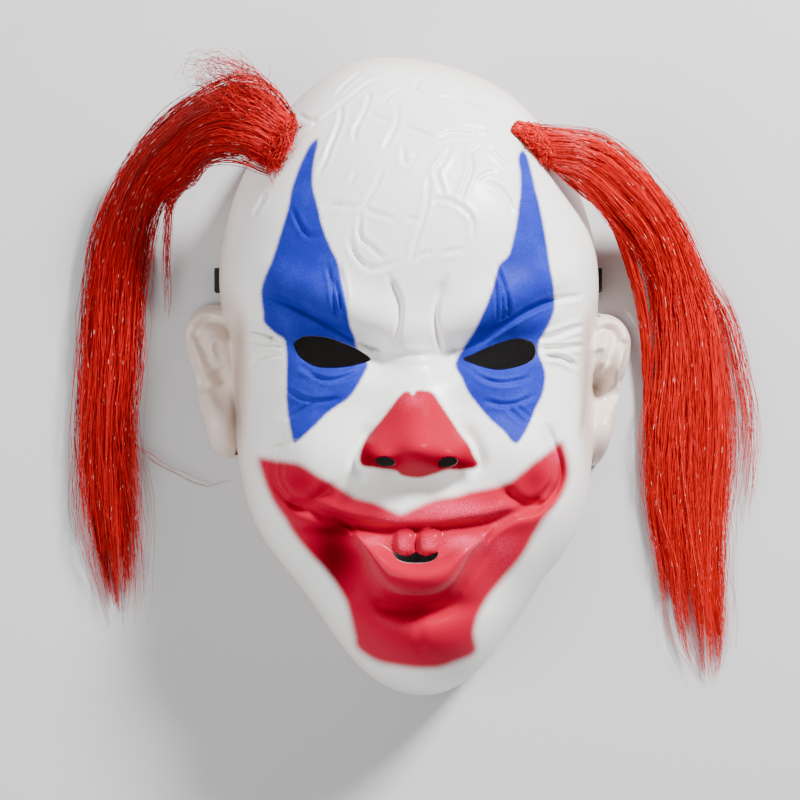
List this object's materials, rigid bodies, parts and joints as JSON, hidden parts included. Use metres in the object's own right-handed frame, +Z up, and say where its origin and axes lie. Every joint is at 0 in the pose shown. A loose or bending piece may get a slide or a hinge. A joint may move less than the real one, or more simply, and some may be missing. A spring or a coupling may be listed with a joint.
{
  "type": "clown horror mask",
  "caption": "Thin moulded clown face mask with ears, eye and mouth holes, two side hair bunches and an elastic head strap.",
  "frame": {"origin": "on the surface the mask lies on, under the middle of the whole object with its hair", "axes": "+Z up out of the face, which lies face up on its rim, +Y towards the crown, +X towards the viewer's right"},
  "size_m": [0.2696, 0.2666, 0.1004],
  "materials": {
    "shell_plastic": "semi-gloss white sheet with airbrushed blue, red and pink paint",
    "red_hair": "shiny straight synthetic hair",
    "black_elastic": "flat woven elastic"
  },
  "bodies": {
    "root": {"mask_shell": "shell_plastic", "hair_bunch_left": "red_hair", "hair_bunch_right": "red_hair", "elastic_strap": "black_elastic"}
  },
  "joints": []
}
